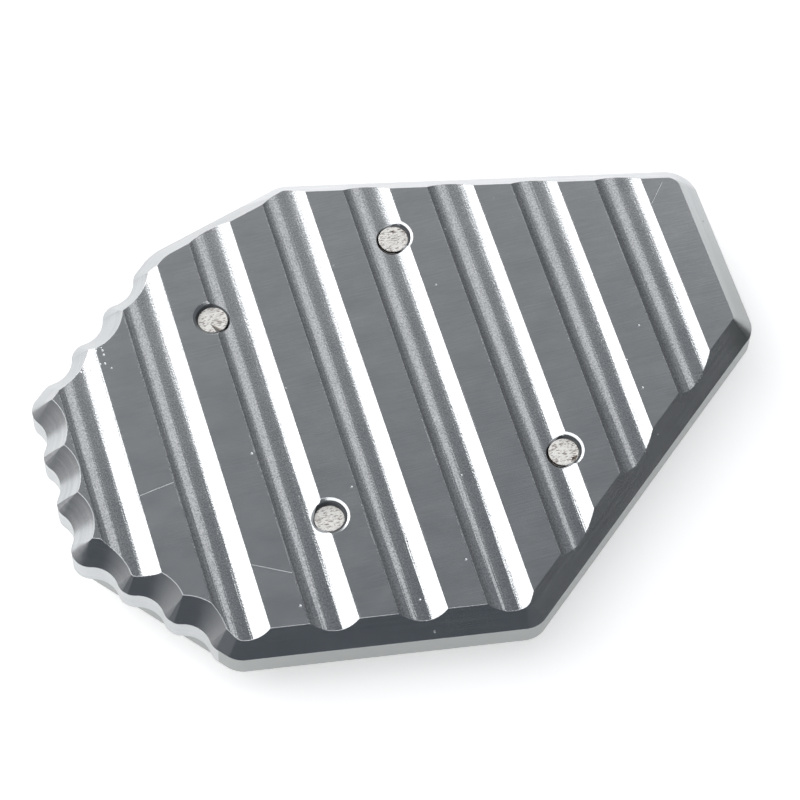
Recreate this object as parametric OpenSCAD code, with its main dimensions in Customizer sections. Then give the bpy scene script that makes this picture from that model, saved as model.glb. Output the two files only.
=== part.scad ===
// Foot enlarger for a motorcycle side stand.
// A milled aluminium plate with a grooved tread, and a fork-shaped clamp plate
// that holds the stand's own foot in a pocket of the plate with four screws.
// It lies on the clamp plate: the tread faces up, and Y runs along the grooves.

/* [Plate] */
// Width between the left and the right side
plate_w = 103.2; // [100:0.2:108]
// Thickness from the clamped face to the tread
plate_t = 10; // [9:0.25:12]
// Width and height of the 45 degree chamfer round the tread
chamfer = 3; // [2.6:0.1:3.4]
// Height of the scalloped wall below the chamfer
wall_h = 3.6; // [2.6:0.1:4]
// How far the straight-edged step behind the wall is set back
step_in = 1.75; // [1.5:0.25:3]

/* [Outline] */
// Distance of the top side from the middle of the plate
top_d = 36.65; // [35:0.05:38]
// Direction that the top side faces
top_az = 76.7; // [74:0.1:79]
// Distance of the brow, the straight side left of the top
brow_d = 39.95; // [39:0.05:41]
// Direction that the brow faces
brow_az = 106.3; // [104:0.1:109]
// Distance of the shoulder, the upper scalloped side
shoulder_d = 43.9; // [43:0.05:45]
// Direction that the shoulder faces
shoulder_az = 131.2; // [129:0.1:133]
// Distance of the heel, the lower scalloped side
heel_d = 47.25; // [46:0.05:48.5]
// Direction that the heel faces
heel_az = 219.7; // [218:0.1:222]
// Distance of the bottom side
bottom_d = 37.9; // [36.5:0.05:39]
// Direction that the bottom side faces
bottom_az = 260.8; // [259:0.1:263]
// Distance of the flank, the long lower right side
flank_d = 35.15; // [34:0.05:37]
// Direction that the flank faces
flank_az = 309.1; // [307:0.1:311]
// Radius of the corner between the right and the top side
nose_r = 5; // [4:0.5:7]
// Radius of the other corners between two straight sides
corner_r = 4; // [3.5:0.25:5]
// Radius of the slight corner between the brow and the shoulder
brow_r = 10; // [6:0.5:12]

/* [Scallops] */
// Radius of the cutter that sinks the scallops
scallop_r = 4; // [3.5:0.25:5]
// Depth of a scallop below its side
scallop_depth = 1.25; // [0.8:0.05:1.4]
// Distance from one scallop to the next
scallop_pitch = 7.75; // [7.5:0.05:8.2]
// Radius of the crests between the scallops
crest_r = 2.5; // [2:0.25:2.75]
// Radius of the crests at the two scalloped corners
corner_crest_r = 2.75; // [2.5:0.25:3]
// Place of the middle scallop along the shoulder
shoulder_mid = 15; // [14:0.25:16]
// Place of the middle scallop along the left side
left_mid = -0.6; // [-1.5:0.1:0.5]
// Place of the middle scallop along the heel
heel_mid = -11.15; // [-12:0.05:-10]

/* [Tread] */
// Radius of the cutter that mills the grooves
groove_r = 6; // [5:0.25:8]
// Depth of the grooves
groove_depth = 1; // [0.6:0.1:1.4]
// Distance from one groove to the next
groove_pitch = 12; // [10:0.25:13]
// Number of grooves
groove_count = 8; // [6:1:8]
// Place of the first groove from the middle
groove_first = -43.9; // [-46:0.1:-42]

/* [Screws] */
// Middle of screw 1 across the grooves, at the upper right of the pocket
screw_1_x = 5.6; // [5:0.1:6.5]
// Middle of screw 1 along the grooves
screw_1_y = 24.7; // [24:0.1:26]
// Middle of screw 2 across the grooves, at the upper left
screw_2_x = -23.2; // [-24.5:0.1:-22.5]
// Middle of screw 2 along the grooves
screw_2_y = 18.7; // [18:0.1:20]
// Middle of screw 3 across the grooves, at the lower left
screw_3_x = -16.1; // [-17.5:0.1:-15.5]
// Middle of screw 3 along the grooves
screw_3_y = -16.5; // [-18:0.1:-16]
// Middle of screw 4 across the grooves, at the lower right
screw_4_x = 18.4; // [17:0.1:20]
// Middle of screw 4 along the grooves
screw_4_y = -15.6; // [-17:0.1:-14]
// Outer diameter of the screw thread
screw_d = 4.9; // [4.9:0.05:4.95]
// Diameter of the tapped holes in the plate
tap_d = 5; // [5:0.02:5.1]
// Width of the shallow countersink at the tread end of the tapped holes
tap_rim = 0.35; // [0.2:0.05:0.5]
// Depth of that countersink
tap_rim_t = 0.2; // [0.1:0.05:0.4]
// Length of a screw over all
screw_l = 14; // [13:0.1:14.4]
// Diameter of the flat screw head
head_d = 9.2; // [8.6:0.1:9.4]
// Height of the cylindrical rim of the head
head_rim = 0.3; // [0.2:0.05:0.5]
// How deep the heads lie below the clamp plate's face
head_sink = 0.3; // [0.1:0.05:0.5]
// Width across the flats of the hexagon socket
socket_af = 3; // [2.5:0.5:3.5]
// Depth of the hexagon socket
socket_depth = 2; // [1.5:0.1:2.2]
// Chamfer of the screw tips
tip_chamfer = 0.45; // [0.2:0.05:0.6]
// Gap between a head and its countersink
seat_gap = 0.05; // [0.02:0.01:0.1]

/* [Clamp and pocket] */
// Thickness of the clamp plate
clamp_t = 5; // [4.5:0.1:6]
// Direction in which the stand's foot points
foot_az = 105; // [103:0.5:107]
// Middle of the pocket, across
foot_x = -4.1; // [-5:0.1:-3]
// Middle of the pocket, along the grooves
foot_y = 2.6; // [2:0.1:3.5]
// Length of the pocket for the stand's foot
foot_l = 46; // [42:0.5:48]
// Width of the pocket
foot_w = 26; // [24:0.5:26.5]
// Depth of the pocket
foot_depth = 5; // [4:0.25:6]
// How far the clamp plate reaches over the foot on each side
clamp_lip = 4.5; // [4:0.25:6]
// Radius of the clamp plate's corners, round each screw
lug_r = 7.5; // [6.5:0.25:9]
// Diameter of the clearance holes in the clamp plate
clear_d = 5.5; // [5.3:0.1:5.8]

/* [Hidden] */
$fn = 96;
spare = 1.5;
// A milled corner runs into its sides at this slight angle, so each cut ends on a clean edge.
run_in = 5;
// Middle of each screw, round the pocket
screw_at = [
    [screw_1_x, screw_1_y], [screw_2_x, screw_2_y],
    [screw_3_x, screw_3_y], [screw_4_x, screw_4_y]
];

top = clamp_t + plate_t;
rim = top - chamfer;
lip_z = rim - wall_h;
shank_r = screw_d / 2;
head_h = head_rim + (head_d - screw_d) / 2;

// Each side is the direction that it faces and its distance from the middle.
right = [0, plate_w / 2];
brow = [brow_az, brow_d];
shoulder = [shoulder_az, shoulder_d];
left = [180, plate_w / 2];
heel = [heel_az, heel_d];
sides = [
    right, [top_az, top_d], brow, shoulder, left,
    heel, [bottom_az, bottom_d], [flank_az, flank_d]
];
// Corner radii: the corner after each side, counter-clockwise.
corners = [
    nose_r, corner_r, brow_r, corner_crest_r, corner_crest_r,
    corner_r, corner_r, corner_r
];

function unit(a) = [cos(a), sin(a)];
function after(i) = (i + 1) % len(sides);
// Direction from one point to another, as an angle above a given one.
function heading(p, q, above) =
    let (a = atan2(q.y - p.y, q.x - p.x))
    a + 360 * ceil((above - a) / 360);
// Where two sides meet, both moved in by a distance.
function meet(s, t, inset) =
    let (d = s[1] - inset, e = t[1] - inset, w = sin(t[0] - s[0]))
    [d * sin(t[0]) - e * sin(s[0]), e * cos(s[0]) - d * cos(t[0])] / w;

// Outline with straight sides and round corners, moved in by a distance.
module plain_outline(inset) {
    reach = cos(run_in) * corners;
    centres = [for (i = [0 : len(sides) - 1]) meet(sides[i], sides[after(i)], inset + reach[i])];
    polygon([
        for (i = [0 : len(sides) - 1], a = [sides[i][0], sides[after(i)][0]])
            centres[i] + reach[i] * unit(a)
    ]);
    for (i = [0 : len(sides) - 1])
        translate(centres[i]) circle(corners[i]);
}

// Scallops: their middles lie outside the side that they are sunk into.
function scallops(side, middle) = [
    for (k = [-1 : 1])
        (side[1] + scallop_r - scallop_depth) * unit(side[0])
            + (middle + k * scallop_pitch) * unit(side[0] + 90)
];
on_shoulder = scallops(shoulder, shoulder_mid);
on_left = scallops(left, left_mid);
on_heel = scallops(heel, heel_mid);
all_scallops = concat(on_shoulder, on_left, on_heel);

// Distance between the middles of a scallop and of a crest of radius r.
function crest_span(r) =
    sqrt(pow(scallop_r, 2) + pow(r, 2) + 2 * scallop_r * r * cos(run_in));
// A crest is [middle, radius, first direction, last direction].
// Crest between two scallops.
function crest_between(p, q, r) =
    let (
        half = norm(q - p) / 2,
        across = [p.y - q.y, q.x - p.x] / (2 * half),
        c = (p + q) / 2 + across * sqrt(pow(crest_span(r), 2) - half * half),
        first = heading(c, p, 0)
    )
    [c, r, first, heading(c, q, first)];
// Crest between a straight side and a scallop that comes after it (way -1) or before it (way 1).
function crest_on(side, p, r, way) =
    let (
        n = unit(side[0]),
        t = unit(side[0] + 90),
        d = side[1] - r * cos(run_in),
        c = d * n + (p * t + way * sqrt(pow(crest_span(r), 2) - pow(p * n - d, 2))) * t
    )
    way < 0
        ? [c, r, side[0], heading(c, p, side[0])]
        : [c, r, heading(c, p, side[0] - 180), side[0]];

crests = [
    crest_on(shoulder, on_shoulder[0], crest_r, -1),
    crest_between(on_shoulder[0], on_shoulder[1], crest_r),
    crest_between(on_shoulder[1], on_shoulder[2], crest_r),
    crest_on(shoulder, on_shoulder[2], crest_r, 1),
    crest_on(shoulder, on_left[0], corner_crest_r, -1),
    crest_between(on_left[0], on_left[1], crest_r),
    crest_between(on_left[1], on_left[2], crest_r),
    crest_between(on_left[2], on_heel[0], corner_crest_r),
    crest_between(on_heel[0], on_heel[1], crest_r),
    crest_between(on_heel[1], on_heel[2], crest_r),
    crest_on(heel, on_heel[2], crest_r, 1)
];
// Corners between two straight sides, in the same form.
straight_corners = [
    for (i = [0, 1, 2, 5, 6, 7])
        let (a = sides[i][0], b = sides[after(i)][0], r = corners[i])
        [meet(sides[i], sides[after(i)], r * cos(run_in)), r, a, b < a ? b + 360 : b]
];

// What a round corner loses: the wedge outside it, with the chamfer running round as a cone.
module corner_waste(corner) {
    c = corner[0];
    r = corner[1];
    reach = r + spare;
    middle = (corner[2] + corner[3]) / 2;
    cone_h = min(r, chamfer);
    difference() {
        translate([0, 0, lip_z - spare])
            linear_extrude(chamfer + wall_h + 2 * spare)
                polygon([
                    c,
                    c + reach * unit(corner[2]),
                    c + reach / cos(middle - corner[2]) * unit(middle),
                    c + reach * unit(corner[3])
                ]);
        translate([c.x, c.y, lip_z - 2 * spare])
            cylinder(h = wall_h + 2 * spare, r = r);
        translate([c.x, c.y, rim])
            cylinder(h = cone_h, r1 = r, r2 = r - cone_h);
    }
}

// What a scallop loses: a round cut whose chamfer is a cone about the same middle.
module scallop_waste(p) {
    translate([p.x, p.y, lip_z - spare])
        cylinder(h = wall_h + spare, r = scallop_r);
    translate([p.x, p.y, rim])
        cylinder(h = chamfer + spare, r1 = scallop_r, r2 = scallop_r + chamfer + spare);
}

// What a straight side loses to the chamfer.
module side_waste(side) {
    long = 2 * plate_w;
    rotate([0, 0, side[0]])
        translate([side[1], 0, rim])
            rotate([0, -45, 0])
                translate([0, -long / 2, -2 * chamfer])
                    cube([3 * chamfer, long, 4 * chamfer]);
}

// The chamfered and scalloped part of the plate, next to the tread.
module lip() {
    difference() {
        translate([0, 0, lip_z])
            linear_extrude(chamfer + wall_h)
                polygon([for (i = [0 : len(sides) - 1]) meet(sides[i], sides[after(i)], 0)]);
        for (side = sides) side_waste(side);
        for (p = all_scallops) scallop_waste(p);
        for (corner = concat(crests, straight_corners)) corner_waste(corner);
    }
}

// Round-ended slot along the foot's direction.
module stadium(l, w, h) {
    translate([foot_x, foot_y, 0])
        rotate([0, 0, foot_az]) {
            translate([-(l - w) / 2, -w / 2, 0]) cube([l - w, w, h]);
            for (s = [-1, 1])
                translate([s * (l - w) / 2, 0, 0]) cylinder(h = h, d = w);
        }
}

module base_plate() {
    color("silver")
    difference() {
        union() {
            lip();
            translate([0, 0, clamp_t])
                linear_extrude(lip_z - clamp_t)
                    plain_outline(step_in);
        }
        for (i = [0 : groove_count - 1])
            translate([groove_first + i * groove_pitch, 0, top - groove_depth + groove_r])
                rotate([90, 0, 0])
                    cylinder(h = 2 * plate_w, r = groove_r, center = true);
        translate([0, 0, clamp_t - spare])
            stadium(foot_l, foot_w, foot_depth + spare);
        for (p = screw_at)
            translate([p.x, p.y, 0]) {
                translate([0, 0, clamp_t - spare])
                    cylinder(h = plate_t + 2 * spare, d = tap_d);
                translate([0, 0, top - tap_rim_t])
                    cylinder(h = 2 * tap_rim_t, r1 = tap_d / 2, r2 = tap_d / 2 + 2 * tap_rim);
            }
    }
}

// Outline of the clamp plate: a round lug about each screw, joined by straight edges.
module clamp_outline() {
    n = len(screw_at);
    polygon([
        for (i = [0 : n - 1], way = [-1, 1])
            let (
                p = screw_at[i],
                q = screw_at[(i + way + n) % n],
                run = (q - p) / norm(q - p)
            )
            p + lug_r * cos(run_in) * way * [run.y, -run.x]
    ]);
    for (p = screw_at)
        translate(p) circle(lug_r);
}

module clamp_plate() {
    slot_w = foot_w - 2 * clamp_lip;
    slot_l = foot_l - 2 * clamp_lip;
    color("gainsboro")
    difference() {
        linear_extrude(clamp_t)
            clamp_outline();
        translate([foot_x, foot_y, -spare])
            rotate([0, 0, foot_az]) {
                translate([-(slot_l - slot_w) / 2, 0, 0])
                    cylinder(h = clamp_t + 2 * spare, d = slot_w);
                translate([-(slot_l - slot_w) / 2, -slot_w / 2, 0])
                    cube([2 * foot_l, slot_w, clamp_t + 2 * spare]);
            }
        for (p = screw_at)
            translate([p.x, p.y, 0]) countersunk_hole();
    }
}

// Clearance hole with the seat of a flat head, measured from the clamp plate's face.
module countersunk_hole() {
    seat_r = head_d / 2 + seat_gap;
    clear_r = clear_d / 2;
    cone_z = head_sink + head_rim;
    rotate_extrude()
        polygon([
            [0, -spare],
            [seat_r, -spare],
            [seat_r, cone_z],
            [clear_r, cone_z + seat_r - clear_r],
            [clear_r, clamp_t + spare],
            [0, clamp_t + spare]
        ]);
}

module screw(p) {
    head_r = head_d / 2;
    color("lightgray")
    translate([p.x, p.y, head_sink])
        difference() {
            rotate_extrude()
                polygon([
                    [0, 0],
                    [head_r, 0],
                    [head_r, head_rim],
                    [shank_r, head_h],
                    [shank_r, screw_l - tip_chamfer],
                    [shank_r - tip_chamfer, screw_l],
                    [0, screw_l]
                ]);
            translate([0, 0, -spare])
                cylinder(h = socket_depth + spare, d = socket_af / cos(30), $fn = 6);
        }
}

base_plate();
clamp_plate();
for (i = [0 : len(screw_at) - 1])
    screw(screw_at[i]);
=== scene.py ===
import math

import bpy
from mathutils import Euler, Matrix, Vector


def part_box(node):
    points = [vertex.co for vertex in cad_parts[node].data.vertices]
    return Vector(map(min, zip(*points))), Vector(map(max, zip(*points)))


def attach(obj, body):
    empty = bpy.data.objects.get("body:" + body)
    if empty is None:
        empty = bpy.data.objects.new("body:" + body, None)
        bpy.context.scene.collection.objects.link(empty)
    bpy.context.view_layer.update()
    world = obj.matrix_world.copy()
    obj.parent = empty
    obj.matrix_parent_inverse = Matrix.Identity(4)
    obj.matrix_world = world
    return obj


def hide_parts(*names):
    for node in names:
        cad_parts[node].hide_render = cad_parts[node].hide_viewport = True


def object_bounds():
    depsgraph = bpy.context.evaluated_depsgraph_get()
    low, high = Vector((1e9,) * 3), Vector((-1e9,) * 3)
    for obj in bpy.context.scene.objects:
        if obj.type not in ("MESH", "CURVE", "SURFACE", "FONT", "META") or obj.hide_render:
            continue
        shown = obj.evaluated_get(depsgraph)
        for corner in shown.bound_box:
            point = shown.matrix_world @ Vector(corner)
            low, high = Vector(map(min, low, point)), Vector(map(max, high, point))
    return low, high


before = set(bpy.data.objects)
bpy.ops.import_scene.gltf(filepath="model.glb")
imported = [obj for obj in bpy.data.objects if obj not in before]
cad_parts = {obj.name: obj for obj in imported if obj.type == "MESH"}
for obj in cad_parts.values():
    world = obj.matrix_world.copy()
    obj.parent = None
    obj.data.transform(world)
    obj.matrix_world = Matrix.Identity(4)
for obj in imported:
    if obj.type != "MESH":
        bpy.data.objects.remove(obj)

cad_box = [list(corner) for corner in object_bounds()]

MM = 0.001

# Real sizes of the plate, in mm
PLATE_TOP = cad_box[1][2] / MM
CHAMFER = 3.0
RIM_Z = PLATE_TOP - CHAMFER     # lower edge of the chamfer
WALL_H = 3.6
LIP_Z = RIM_Z - WALL_H          # lower edge of the scalloped wall
GROOVE_PITCH = 12.0
GROOVE_FIRST = -43.9            # middle of the leftmost groove
GROOVE_R = 6.0
GROOVE_DEPTH = 1.0
GROOVE_AXIS_Z = PLATE_TOP - GROOVE_DEPTH + GROOVE_R
EDGE_BREAK = 0.09
RELIEF_H = 0.05                 # height of the tool marks where their pattern says 1

# Real sizes of the screws and their holes, in mm
SEAT_Z = 0.3                    # flat of a screw's head above the floor
SCREW_L = 14.0
TIP_Z = SEAT_Z + SCREW_L
HEAD_R = 4.6
HEAD_RIM = 0.3
THREAD_R = 2.45                 # M5 thread, crest
CORE_R = 2.05                   # M5 thread, root
THREAD_PITCH = 0.8
CONE_Z = SEAT_Z + HEAD_RIM + HEAD_R - THREAD_R
NECK_L = 1.0                    # plain shank under the head's cone
NECK_TAPER = 0.4                # from the shank to the thread's root
RUN_OUT_Z = CONE_Z + 1.2        # where the thread begins
SPREAD = 0.12                   # how much wider the saw made the end
SPREAD_L = 0.45                 # and how far down
TIP_R = CORE_R + 0.02
TIP_ROUND = 0.1
SOCKET_ACROSS = 3.0
SOCKET_R = SOCKET_ACROSS / 2 / math.cos(math.radians(30))
SOCKET_DEPTH = 2.0
THREAD_FADE_L = 0.5             # where the thread gets lower towards the end
HOLE_R = 2.5                    # tapped hole, over the thread
HOLE_CREST_R = 2.17
HOLE_THREAD_L = 4.0             # how far down the hole its thread is shown

# A thread's ridge: its root and crest as shares of the pitch and of the root's width
RIDGE_ROOT = 0.9
RIDGE_CREST = 0.14

NICK_TILT = math.radians(8)     # so that a nick is deeper at one end

# How the solids are joined, in mm
OVERLAP = 0.1                   # how far one runs into the other
DOUBLED = 0.001                 # points of a mesh nearer than this are one point
NEAR = 0.02                     # how near a height has to be to count as on a face

# The camera stands where the photograph was taken from: 29 degrees off straight above,
# in front of the plate and a little to the left.
LOOK_AT = Vector((-1.40, -1.63, PLATE_TOP)) * MM
VIEW_DISTANCE = 458.4 * MM
VIEW_TURN = math.radians(-19.437)
VIEW_TILT = math.radians(29.442)
VIEW_ROLL = math.radians(2.931)
LENS = 146.27

turn = (
    Euler((0, 0, VIEW_TURN)).to_matrix()
    @ Euler((VIEW_TILT, 0, 0)).to_matrix()
    @ Euler((0, 0, VIEW_ROLL)).to_matrix()
)
bpy.ops.object.camera_add(location=LOOK_AT + turn @ Vector((0, 0, VIEW_DISTANCE)),
                          rotation=turn.to_euler())
camera = bpy.context.object
camera.data.lens = LENS
camera.data.clip_start = 0.01
camera.data.clip_end = 50
bpy.context.scene.camera = camera


def rgba(hex_colour):
    """An sRGB hex colour as linear RGBA."""
    parts = [int(hex_colour[i:i + 2], 16) / 255 for i in (1, 3, 5)]
    return [c / 12.92 if c <= 0.04045 else ((c + 0.055) / 1.055) ** 2.4 for c in parts] + [1]


# Inputs go by name or number. Map Range takes its value at 0, the range that it is read in at
# 1 and 2, and the range that it is put in at 3 and 4. A colour Mix takes its share at 0 and
# its colours at 6 and 7.
def add(tree, kind, inputs=None, **settings):
    """Adds a node with its settings, and gives its inputs values or links from sockets or nodes."""
    made = tree.nodes.new("ShaderNode" + kind)
    for name, value in settings.items():
        setattr(made, name, value)
    for key, value in (inputs or {}).items():
        if isinstance(value, bpy.types.Node):
            value = next(socket for socket in value.outputs if not socket.is_unavailable)
        if isinstance(value, bpy.types.NodeSocket):
            tree.links.new(value, made.inputs[key])
        else:
            made.inputs[key].default_value = value
    return made


def new_material(name):
    """An empty node material: (material, tree, output node)."""
    made = bpy.data.materials.new(name)
    made.use_nodes = True
    made.node_tree.nodes.clear()
    return made, made.node_tree, add(made.node_tree, "OutputMaterial")


def marks(tree, place, lengths, detail, turned=0.0, roughness=0.5):
    """A pattern of marks that have these lengths along X, Y and Z, in mm."""
    laid = add(tree, "Mapping", {0: place, "Rotation": (0, 0, math.radians(turned)),
                                 "Scale": [1 / (length * MM) for length in lengths]})
    return add(tree, "TexNoise", {"Vector": laid, "Scale": 1.0, "Detail": detail, "Roughness": roughness})


def facing(degrees):
    """The way that a side faces, this far round from the X axis."""
    return math.cos(math.radians(degrees)), math.sin(math.radians(degrees)), 0


def scratch(tree, place_mm, start, end, width):
    """1 on a straight scratch in the tread, 0 off it."""
    run = Vector(end) - Vector(start)
    way = run.normalized()
    middle = (Vector(start) + Vector(end)) / 2
    from_middle = add(tree, "VectorMath", {0: place_mm, 1: (*middle, PLATE_TOP)}, operation="SUBTRACT")
    along = add(tree, "VectorMath", {0: from_middle, 1: (way.x, way.y, 0)}, operation="DOT_PRODUCT")
    aside = add(tree, "VectorMath", {0: from_middle, 1: (-way.y, way.x, 0)}, operation="DOT_PRODUCT")
    in_length = add(tree, "Math", {0: along, 1: 0.0, 2: run.length / 2}, operation="COMPARE")
    off = add(tree, "Math", {0: aside}, operation="ABSOLUTE")
    in_width = add(tree, "MapRange", {0: off, 1: width / 2, 2: width, 3: 1.0, 4: 0.0})
    return add(tree, "Math", {0: in_length, 1: in_width}, operation="MULTIPLY")


# Scratches in the tread, as (x, y) of both ends and the width, in mm
SCRATCHES = [
    ((-40.4, -6.2), (-35.0, -5.4), 0.05),
    ((-28.4, -20.8), (-23.5, -23.5), 0.04),
    ((-18.6, 6.4), (-16.2, 4.6), 0.05),
    ((41.6, 17.5), (46.3, 22.9), 0.06),
]
# Where many small dents lie together, and how far apart dents can be, in mm
DENTED = (-40.6, 16.4, PLATE_TOP)
DENT_CELL = 0.7
# The scalloped walls lie past two planes: the way that each faces and how far out it is, in mm
SCALLOPED = [(facing(221.2), 3.25), (facing(129.7), -0.6)]
# The way that the top side faces and how far out it is, in mm
TOP_FACING = facing(76.7)
TOP_D = 36.65
# Y at the front and the back of the tread, between which the grooves' finish changes, in mm
FRONT_Y = -30.0
BACK_Y = 30.0
# Directions of the brush lines and of the saw marks, in degrees
BRUSH_TURN = 18
SAW_TURN = 25


def milled_aluminium():
    """Bare aluminium, milled and not coated: it mirrors the studio with a soft blur. The
    ridges are brushed, the ball cutter left chatter in the grooves, and the sides are rougher and get
    painted shade."""
    made, tree, out = new_material("milled_aluminium")
    place = add(tree, "TexCoord").outputs["Object"]
    mm = add(tree, "VectorMath", {0: place, "Scale": 1 / MM}, operation="SCALE")
    x, y, z = add(tree, "SeparateXYZ", {0: mm}).outputs

    # the grooves are where a point lies on one of the cutter's rounds
    from_first = add(tree, "Math", {0: x, 1: GROOVE_FIRST}, operation="SUBTRACT")
    across = add(tree, "Math", {0: from_first, 1: GROOVE_PITCH / 2, 2: -GROOVE_PITCH / 2}, operation="WRAP")
    square = add(tree, "Math", {0: across, 1: across}, operation="MULTIPLY")
    rest = add(tree, "Math", {0: GROOVE_R ** 2, 1: square}, operation="SUBTRACT")
    drop = add(tree, "Math", {0: rest}, operation="SQRT")
    axis_z = add(tree, "Math", {0: z, 1: drop}, operation="ADD")
    in_groove = add(tree, "Math", {0: axis_z, 1: GROOVE_AXIS_Z, 2: 5 * NEAR}, operation="COMPARE")
    high = add(tree, "Math", {0: z, 1: PLATE_TOP - NEAR}, operation="GREATER_THAN")
    on_ridge = add(tree, "Math", {0: high, 1: in_groove}, operation="SUBTRACT", use_clamp=True)
    on_tread = add(tree, "Math", {0: on_ridge, 1: in_groove}, operation="ADD")
    on_side = add(tree, "Math", {0: 1.0, 1: on_tread}, operation="SUBTRACT")
    on_wall = add(tree, "Math", {0: z, 1: RIM_Z}, operation="LESS_THAN")

    # Brush lines run straight across the photograph. Real ones and the cutter's grains are
    # finer, but are drawn as coarse as the render can show.
    brushed = marks(tree, place, (6, 0.25, 1), detail=3, turned=BRUSH_TURN, roughness=0.6)
    mottled = marks(tree, place, (7, 4, 4), detail=4, turned=BRUSH_TURN, roughness=0.6)
    chatter = marks(tree, place, (0.2, 0.26, 0.26), detail=0)
    drawn = marks(tree, place, (0.3, 14, 0.6), detail=2)
    feed = marks(tree, place, (20, 20, 0.28), detail=2)
    chatter_depth = add(tree, "MapRange", {0: y, 1: FRONT_Y, 2: BACK_Y, 3: 0.07, 4: 0.2})
    relief = 0.0
    tone = 0.5
    # each pattern with where it lies, its depth and how much it changes the tone
    for pattern, where, depth, change in (
            (brushed, on_ridge, 0.1, 0.3),
            (mottled, 1.0, 0.0, 0.45),
            (chatter, in_groove, chatter_depth, 1.2),
            (drawn, in_groove, 0.35, 0.0),
            (feed, on_side, 0.02, 0.65)):
        swing = add(tree, "Math", {0: pattern, 1: 0.5}, operation="SUBTRACT")
        shown = add(tree, "Math", {0: swing, 1: where}, operation="MULTIPLY")
        relief = add(tree, "Math", {0: shown, 1: depth, 2: relief}, operation="MULTIPLY_ADD")
        tone = add(tree, "Math", {0: shown, 1: change, 2: tone}, operation="MULTIPLY_ADD")

    # wear: scratches on the ridges, and dents. Close to DENTED every second cell has a dent,
    # and from 3.4 mm away hardly any.
    scratched = 0.0
    for line in SCRATCHES:
        scratched = add(tree, "Math", {0: scratched, 1: scratch(tree, mm, *line)}, operation="ADD")
    scratched = add(tree, "Math", {0: scratched, 1: on_ridge}, operation="MULTIPLY")
    cells = add(tree, "TexVoronoi", {"Vector": mm, "Scale": 1 / DENT_CELL})
    near = add(tree, "VectorMath", {0: mm, 1: DENTED}, operation="DISTANCE")
    chance = add(tree, "MapRange", {0: near, 1: 1.0, 2: 3.4, 3: 0.5, 4: 0.004})
    lot = add(tree, "SeparateColor", {0: cells.outputs["Color"]})
    chosen = add(tree, "Math", {0: lot, 1: chance}, operation="LESS_THAN")
    above = add(tree, "Math", {0: z, 1: RIM_Z + 0.5}, operation="GREATER_THAN")
    chosen = add(tree, "Math", {0: chosen, 1: above}, operation="MULTIPLY")
    pit = add(tree, "MapRange", {0: cells.outputs["Distance"], 1: 0.12, 2: 0.3, 3: 1.0, 4: 0.0})
    dented = add(tree, "Math", {0: pit, 1: chosen}, operation="MULTIPLY")
    for where, depth in ((scratched, -0.25), (dented, -0.7)):
        relief = add(tree, "Math", {0: where, 1: depth, 2: relief}, operation="MULTIPLY_ADD")

    broken_edge = add(tree, "Bevel", {"Radius": EDGE_BREAK * MM}, samples=6)
    bump = add(tree, "Bump", {
        "Strength": 1.0, "Distance": RELIEF_H * MM, "Height": relief, "Normal": broken_edge})

    groove_change = add(tree, "MapRange", {0: y, 1: FRONT_Y, 2: BACK_Y, 3: -0.11, 4: 0.03})
    rough = add(tree, "MapRange", {0: mottled, 1: 0.3, 2: 0.7, 3: 0.16, 4: 0.185})
    for where, change in ((in_groove, groove_change), (on_side, 0.02), (on_wall, 0.1),
                          (scratched, 0.12), (dented, 0.15)):
        rough = add(tree, "Math", {0: where, 1: change, 2: rough}, operation="MULTIPLY_ADD")

    # painted shade: the straight walls get a darker colour than the scalloped ones
    scalloped = add(tree, "Math", {0: z, 1: LIP_Z + NEAR}, operation="GREATER_THAN")
    for normal, distance in SCALLOPED:
        past = add(tree, "VectorMath", {0: mm, 1: normal}, operation="DOT_PRODUCT")
        past = add(tree, "Math", {0: past, 1: distance}, operation="GREATER_THAN")
        scalloped = add(tree, "Math", {0: scalloped, 1: past}, operation="MULTIPLY")
    wall_painted_shade = add(tree, "Math", {0: on_wall, 1: scalloped}, operation="SUBTRACT", use_clamp=True)
    # painted shade: all sides but the top one get a darker colour, so that the top chamfer is the
    # brightest, and the right chamfer gets darker still towards its lower end
    to_top = add(tree, "VectorMath", {0: mm, 1: TOP_FACING}, operation="DOT_PRODUCT")
    chamfer_d = TOP_D - CHAMFER
    side_painted_shade = add(tree, "MapRange", {0: to_top, 1: chamfer_d - 0.5, 2: chamfer_d, 3: 0.3, 4: 0.0})
    at_right = add(tree, "MapRange", {0: x, 1: 46.0, 2: 50.0})
    right_painted_shade = add(tree, "MapRange", {0: y, 1: 20.0, 2: 0.0, 3: 0.2, 4: 0.75})
    painted_shade = add(tree, "Math", {0: at_right, 1: right_painted_shade, 2: side_painted_shade}, operation="MULTIPLY_ADD")
    painted_shade = add(tree, "Math", {0: on_side, 1: painted_shade}, operation="MULTIPLY")
    painted_shade = add(tree, "Math", {0: wall_painted_shade, 1: 0.7, 2: painted_shade}, operation="MULTIPLY_ADD")
    colour = add(tree, "Mix", {0: tone, 6: rgba("#b9bcc0"), 7: rgba("#f4f5f6")}, data_type="RGBA")
    # painted shade: the marked sides and walls get a colour nearer to a darker grey
    colour = add(tree, "Mix", {0: painted_shade, 6: colour, 7: rgba("#a7aaa9")}, data_type="RGBA")
    metal = add(tree, "BsdfPrincipled", {
        "Base Color": colour, "Metallic": 1.0, "Roughness": rough, "Normal": bump})
    tree.links.new(metal.outputs[0], out.inputs[0])
    return made


def tapped_aluminium_painted_shade():
    """Aluminium cut by a tap: the threads are torn, so they look blurred, and their colour is darkened as
    painted shade in the hole.
    """
    made, tree, out = new_material("tapped_aluminium_painted_shade")
    metal = add(tree, "BsdfPrincipled", {
        "Base Color": rgba("#7c7e80"), "Metallic": 1.0, "Roughness": 0.3})
    tree.links.new(metal.outputs[0], out.inputs[0])
    return made


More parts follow.
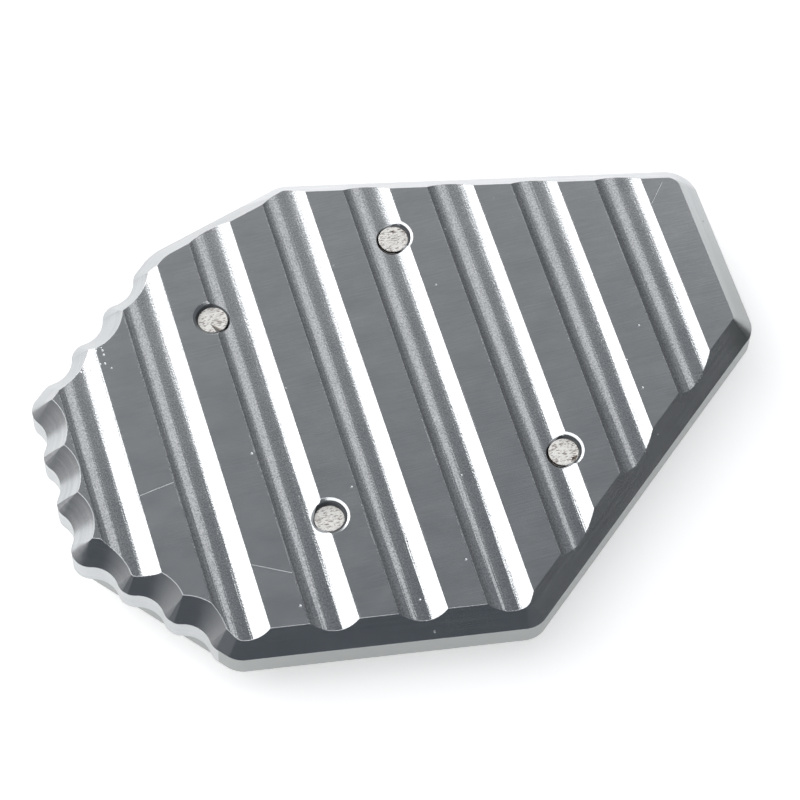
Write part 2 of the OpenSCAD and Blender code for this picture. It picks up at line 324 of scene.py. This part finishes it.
def sawn_steel(name, tip_z):
    """Stainless steel: the rolled thread is smooth, warm grey metal, and the sawn end at this
    height in mm is rough, so that it looks nearly white."""
    made, tree, out = new_material(name)
    place = add(tree, "TexCoord").outputs["Object"]
    height = add(tree, "SeparateXYZ", {0: place}).outputs["Z"]
    at_end = add(tree, "Math", {0: height, 1: (tip_z - 3 * NEAR) * MM}, operation="GREATER_THAN")
    # saw marks, coarser than real ones so that they show
    sawn = marks(tree, place, (0.6, 0.17, 0.3), detail=2, turned=SAW_TURN, roughness=0.6)
    relief = add(tree, "Math", {0: sawn, 1: at_end}, operation="MULTIPLY")
    bump = add(tree, "Bump", {"Strength": 1.0, "Distance": 0.15 * MM, "Height": relief})
    swing = add(tree, "MapRange", {0: sawn, 1: 0.36, 2: 0.48, 3: -0.3, 4: 0.65})
    tone = add(tree, "Math", {0: at_end, 1: swing, 2: 0.35}, operation="MULTIPLY_ADD")
    colour = add(tree, "Mix", {0: tone, 6: rgba("#9a8e86"), 7: rgba("#fffdf9")}, data_type="RGBA")
    metallic = add(tree, "MapRange", {0: at_end, 1: 0.0, 2: 1.0, 3: 1.0, 4: 0.15})
    rough = add(tree, "MapRange", {0: at_end, 1: 0.0, 2: 1.0, 3: 0.25, 4: 0.8})
    metal = add(tree, "BsdfPrincipled", {
        "Base Color": colour, "Metallic": metallic, "Roughness": rough, "Normal": bump})
    tree.links.new(metal.outputs[0], out.inputs[0])
    return made


def seamless_paper():
    """Uncoated white studio paper: matt, and pure white away from the part's soft shadow."""
    made, tree, out = new_material("seamless_paper")
    path = add(tree, "LightPath")
    glow = 0.0
    for ray, strength in (("Is Camera Ray", 0.5), ("Is Glossy Ray", 0.33), ("Is Transmission Ray", 0.33)):
        shown = add(tree, "Math", {0: path.outputs[ray], 1: strength}, operation="MULTIPLY")
        glow = add(tree, "Math", {0: glow, 1: shown}, operation="MAXIMUM")
    paper = add(tree, "BsdfPrincipled", {
        "Base Color": rgba("#f6f6f6"), "Roughness": 0.9, "Specular IOR Level": 0.0,
        "Emission Color": rgba("#ffffff"), "Emission Strength": glow})
    tree.links.new(paper.outputs[0], out.inputs[0])
    return made


def deselect():
    """Operators act on all that is selected, so each piece starts with nothing selected."""
    bpy.ops.object.select_all(action="DESELECT")


def pick(piece):
    """Selects this piece alone."""
    deselect()
    bpy.context.view_layer.objects.active = piece
    piece.select_set(True)


def apply_place():
    """Puts the active object's place into its mesh."""
    bpy.ops.object.transform_apply(location=True, rotation=True, scale=True)


def lathed(name, outline):
    """A turned solid about the Z axis: outline is (radius, height) in mm, from the bottom up."""
    deselect()
    radius, height = outline[0]
    foot = Vector((0, 0, height)) * MM
    bpy.ops.mesh.primitive_circle_add(vertices=64, radius=radius * MM, fill_type="NGON", location=foot)
    made = bpy.context.object
    made.name = name
    bpy.ops.object.mode_set(mode="EDIT")
    bpy.ops.mesh.select_all(action="SELECT")
    for next_radius, next_height in outline[1:]:
        rise = (0, 0, (next_height - height) * MM)
        bpy.ops.mesh.extrude_region_move(TRANSFORM_OT_translate={"value": rise})
        wider = next_radius / radius
        bpy.ops.transform.resize(value=(wider, wider, 1), center_override=foot)
        radius, height = next_radius, next_height
    bpy.ops.mesh.select_all(action="SELECT")
    bpy.ops.mesh.normals_make_consistent(inside=False)
    bpy.ops.object.mode_set(mode="OBJECT")
    apply_place()
    return made


def thread_ridge(name, root_r, crest_r, start_z, turns):
    """A thread's ridge about the Z axis: its section wound up by the Screw modifier."""
    deselect()
    section = Vector(((root_r + crest_r) / 2, 0, start_z)) * MM
    bpy.ops.mesh.primitive_plane_add(size=MM, location=section, rotation=(math.pi / 2, 0, 0))
    made = bpy.context.object
    made.name = name
    apply_place()
    bpy.ops.object.mode_set(mode="EDIT")
    bpy.ops.mesh.select_all(action="SELECT")
    depth = abs(crest_r - root_r)
    bpy.ops.transform.resize(value=(depth, 1, RIDGE_ROOT * THREAD_PITCH), center_override=section)
    bpy.ops.mesh.delete(type="ONLY_FACE")
    bpy.ops.mesh.select_all(action="DESELECT")
    bpy.ops.object.mode_set(mode="OBJECT")
    # the crest is on the outside of a screw's thread and on the inside of a hole's
    outwards = 1 if crest_r > root_r else -1
    for corner in made.data.vertices:
        corner.select = (corner.co.x - section.x) * outwards > 0
    bpy.ops.object.mode_set(mode="EDIT")
    bpy.ops.transform.resize(value=(1, 1, RIDGE_CREST), center_override=section)
    bpy.ops.object.mode_set(mode="OBJECT")
    bpy.context.scene.cursor.location = (0, 0, 0)
    bpy.ops.object.origin_set(type="ORIGIN_CURSOR")
    wind = made.modifiers.new("wind", "SCREW")
    wind.axis = "Z"
    wind.angle = math.tau
    wind.screw_offset = THREAD_PITCH * MM
    wind.iterations = turns
    wind.steps = 40
    wind.render_steps = 40
    bpy.ops.object.modifier_apply(modifier="wind")
    bpy.ops.object.mode_set(mode="EDIT")
    bpy.ops.mesh.select_all(action="SELECT")
    bpy.ops.mesh.fill_holes(sides=4)
    bpy.ops.mesh.select_all(action="SELECT")
    bpy.ops.mesh.normals_make_consistent(inside=False)
    bpy.ops.object.mode_set(mode="OBJECT")
    return made


def combine(piece, tool, operation):
    """Cuts, joins or intersects piece with tool, which is used up, and merges doubled points."""
    pick(piece)
    work = piece.modifiers.new("combine", "BOOLEAN")
    work.operation = operation
    work.solver = "EXACT"
    work.object = tool
    bpy.ops.object.modifier_apply(modifier="combine")
    bpy.data.objects.remove(tool)
    bpy.ops.object.mode_set(mode="EDIT")
    bpy.ops.mesh.select_all(action="SELECT")
    bpy.ops.mesh.remove_doubles(threshold=DOUBLED * MM)
    bpy.ops.object.mode_set(mode="OBJECT")


def copied(piece, name):
    """A copy of piece with its own mesh."""
    pick(piece)
    bpy.ops.object.duplicate(linked=False)
    made = bpy.context.object
    made.name = name
    return made


def move(piece, place):
    """Moves piece from the Z axis to this (x, y) in mm."""
    pick(piece)
    piece.location = (place.x * MM, place.y * MM, 0)
    apply_place()


def dressed(piece, finish, slot, *replaced):
    """Finishes a new piece: smooth shading, material, body and the node it stands for. Its slot is not
    used.
    """
    pick(piece)
    bpy.ops.object.shade_smooth_by_angle(angle=math.radians(12))
    piece.data.materials.clear()
    piece.data.materials.append(finish)
    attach(piece, "root")
    if replaced:
        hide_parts(*replaced)


def screw_blank():
    """Flat head M5 screw with a hexagon socket and a rolled thread, whose end the saw spread."""
    made = lathed("screw_blank", [
        (HEAD_R, SEAT_Z),
        (HEAD_R, SEAT_Z + HEAD_RIM),
        (THREAD_R, CONE_Z),
        (THREAD_R, CONE_Z + NECK_L),
        (CORE_R, CONE_Z + NECK_L + NECK_TAPER),
        (CORE_R, TIP_Z - SPREAD_L),
        (CORE_R + SPREAD, TIP_Z - TIP_ROUND),
        (TIP_R, TIP_Z)])
    ridge = thread_ridge("ridge", CORE_R - OVERLAP, THREAD_R, RUN_OUT_Z, turns=12)
    # the thread starts below half of the neck and gets lower towards the end
    reach = lathed("reach", [
        (THREAD_R + OVERLAP, CONE_Z + NECK_L / 2),
        (THREAD_R + OVERLAP, TIP_Z - THREAD_FADE_L),
        (CORE_R + OVERLAP, TIP_Z - 2 * TIP_ROUND)])
    combine(ridge, reach, "INTERSECT")
    combine(made, ridge, "UNION")
    deselect()
    bpy.ops.mesh.primitive_cylinder_add(vertices=6, radius=SOCKET_R * MM, depth=2 * SOCKET_DEPTH * MM,
                                        location=(0, 0, SEAT_Z * MM))
    socket = bpy.context.object
    apply_place()
    combine(made, socket, "DIFFERENCE")
    return made


def hole_blank():
    """The upper turns of the thread in a tapped hole, half a turn from the screw's."""
    bottom_z = PLATE_TOP - HOLE_THREAD_L
    turns_below = math.ceil((bottom_z - RUN_OUT_Z) / THREAD_PITCH)
    start_z = RUN_OUT_Z + (turns_below + 0.5) * THREAD_PITCH
    made = thread_ridge("hole_blank", HOLE_R + NEAR, HOLE_CREST_R, start_z, turns=5)
    reach_r = HOLE_R + NEAR / 2
    reach = lathed("reach", [(reach_r, bottom_z), (reach_r, PLATE_TOP - 2 * OVERLAP)])
    combine(made, reach, "INTERSECT")
    return made


def nick_tool(start, end, top, width, depth, sides):
    """A tilted prism that cuts a nick: pointed with 3 sides, a lozenge with 4."""
    deselect()
    run = end - start
    middle = start + run * (2 / 3 if sides == 3 else 1 / 2)
    bpy.ops.mesh.primitive_cylinder_add(
        vertices=sides, radius=1, depth=2 * depth * MM, location=Vector((*middle, top)) * MM,
        rotation=(NICK_TILT, 0, math.atan2(-run.y, -run.x) - math.pi / 2))
    made = bpy.context.object
    across = math.sqrt(3) if sides == 3 else 2
    along = 3 / 2 if sides == 3 else 2
    made.scale = (width / across * MM, run.length / along * MM, 1)
    apply_place()
    return made


def groove_cutter(place):
    """The cutter's round in the groove nearest to this place."""
    deselect()
    groove = round((place.x - GROOVE_FIRST) / GROOVE_PITCH)
    axis = Vector((GROOVE_FIRST + groove * GROOVE_PITCH, place.y, GROOVE_AXIS_Z)) * MM
    bpy.ops.mesh.primitive_cylinder_add(vertices=128, radius=GROOVE_R * MM, depth=20 * MM,
                                        rotation=(math.pi / 2, 0, 0), location=axis)
    made = bpy.context.object
    apply_place()
    return made


# Each end is cut and nicked in its own way: how far it is cut short, and its nicks as
# start and end from the axis, width, depth and sides, in mm.
CUT_SHORT = 0.3
ENDS = {
    "screw_1": (0.0, [((-0.2, 1.5), (1.0, 0.9), 0.35, 0.22, 4)]),
    "screw_2": (0.0, [((-0.5, -0.5), (0.75, -2.5), 1.2, 0.26, 3)]),
    "screw_3": (CUT_SHORT, []),
    "screw_4": (0.0, [((0.45, -1.84), (1.65, -1.0), 0.65, 0.35, 4)]),
}
aluminium = milled_aluminium()
tap_painted_shade = tapped_aluminium_painted_shade()
steel = {
    0.0: sawn_steel("sawn_stainless_steel", TIP_Z),
    CUT_SHORT: sawn_steel("sawn_stainless_steel_short", TIP_Z - CUT_SHORT),
}
screw = screw_blank()
hole = hole_blank()
for node, (short, nicks) in ENDS.items():
    low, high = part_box(node)
    axis = Vector(((low.x + high.x) / 2 / MM, (low.y + high.y) / 2 / MM))
    piece = copied(screw, node + "_detailed")
    if short:
        # the copy is the active object and the only one selected
        bpy.ops.object.mode_set(mode="EDIT")
        bpy.ops.mesh.select_all(action="SELECT")
        bpy.ops.mesh.bisect(plane_co=(0, 0, (TIP_Z - short) * MM), plane_no=(0, 0, 1),
                            use_fill=True, clear_outer=True)
        bpy.ops.object.mode_set(mode="OBJECT")
    for start, end, width, depth, sides in nicks:
        tool = nick_tool(Vector(start), Vector(end), TIP_Z - short, width, depth, sides)
        combine(piece, tool, "DIFFERENCE")
    move(piece, axis)
    dressed(piece, steel[short], "screw", node)
    thread = copied(hole, "thread_of_" + node)
    move(thread, axis)
    combine(thread, groove_cutter(axis), "DIFFERENCE")
    dressed(thread, tap_painted_shade, "plate")
for blank in (screw, hole):
    bpy.data.objects.remove(blank)

# The two plates keep their own meshes
for name in ("base_plate", "clamp_plate"):
    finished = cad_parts[name].data
    finished.materials.clear()
    finished.materials.append(aluminium)


def softbox(name, middle, size, radiance, aim=None, turned=0.0):
    """A rectangular area lamp, in metres, that shines down or at aim with this radiance."""
    lamp = bpy.data.lights.new(name, "AREA")
    lamp.shape = "RECTANGLE"
    lamp.size, lamp.size_y = size
    lamp.energy = radiance * math.pi * size[0] * size[1]
    made = bpy.data.objects.new(name, lamp)
    bpy.context.scene.collection.objects.link(made)
    made.location = middle
    if aim:
        made.rotation_mode = "QUATERNION"
        made.rotation_quaternion = (Vector(aim) - Vector(middle)).to_track_quat("-Z", "Y")
    else:
        made.rotation_euler = (0, 0, turned)


# The overhead box has one edge slantwise over the plate, from the back left to the front
# right, so that the right flank of each groove mirrors it and the ridges don't. In metres.
EDGE_MIDDLE = Vector((-0.29, 0.68))
ALONG_EDGE = Vector((-0.68, 0.733))
FROM_EDGE = Vector((-0.733, -0.68))
BOX_SIZE = (3.3, 1.65)
BOX_H = 1.38
BOX_SHIFT = 0.3                 # along its edge, towards the back left
middle = EDGE_MIDDLE + BOX_SHIFT * ALONG_EDGE + BOX_SIZE[1] / 2 * FROM_EDGE
softbox("overhead_softbox", (*middle, BOX_H), BOX_SIZE, 1.6, turned=math.atan2(ALONG_EDGE.y, ALONG_EDGE.x))
# a weak card on the right, which the left flanks of the grooves mirror
softbox("right_card", (0.58, 0.60, 0.84), (0.35, 0.4), 0.4, aim=(0, 0, 0))
# a low lamp at the back left, which lights the paper behind and leaves it darker in front
softbox("back_lamp", (-0.5, 1.1, 0.55), (1.0, 0.5), 2.4, aim=(0, 0, 0))

# The studio is dark in front and grey at the back.
world = bpy.data.worlds.new("studio")
bpy.context.scene.world = world
world.use_nodes = True
tree = world.node_tree
towards = add(tree, "SeparateXYZ", {0: add(tree, "TexCoord").outputs["Generated"]}).outputs
# the share of the grey at the back, which rises towards the back and a little to the right
back = add(tree, "MapRange", {0: towards["Y"], 1: -0.4, 2: 0.36, 3: 0.0, 4: 0.12},
           interpolation_type="SMOOTHSTEP")
for side, start, end, more in (("Y", 0.36, 0.58, 0.88), ("X", 0.1, 0.3, 0.12)):
    rise = add(tree, "MapRange", {0: towards[side], 1: start, 2: end, 3: 0.0, 4: more})
    back = add(tree, "Math", {0: back, 1: rise}, operation="ADD")
# the lighter left side, except in front, and the darker low right side
left = add(tree, "MapRange", {0: towards["X"], 1: -0.45, 2: -0.8})
not_front = add(tree, "MapRange", {0: towards["Y"], 1: -0.6, 2: 0.35})
left = add(tree, "Math", {0: left, 1: not_front}, operation="MULTIPLY")
right = add(tree, "MapRange", {0: towards["X"], 1: 0.45, 2: 0.8})
low = add(tree, "MapRange", {0: towards["Z"], 1: 0.6, 2: 0.3})
low_right = add(tree, "Math", {0: right, 1: low}, operation="MULTIPLY")
shade = add(tree, "Mix", {0: back, 6: rgba("#585d63"), 7: rgba("#a3a5a6")}, data_type="RGBA")
shade = add(tree, "Mix", {0: left, 6: shade, 7: rgba("#aeaeb0")}, data_type="RGBA")
shade = add(tree, "Mix", {0: low_right, 6: shade, 7: rgba("#656769")}, data_type="RGBA")
tree.links.new(shade.outputs["Result"], tree.nodes["Background"].inputs[0])

deselect()
bpy.ops.mesh.primitive_plane_add(size=12, location=(0, 0, 0))
floor = bpy.context.object
floor.name = "paper_floor"
floor.data.materials.append(seamless_paper())

bpy.context.scene.view_settings.view_transform = "Standard"
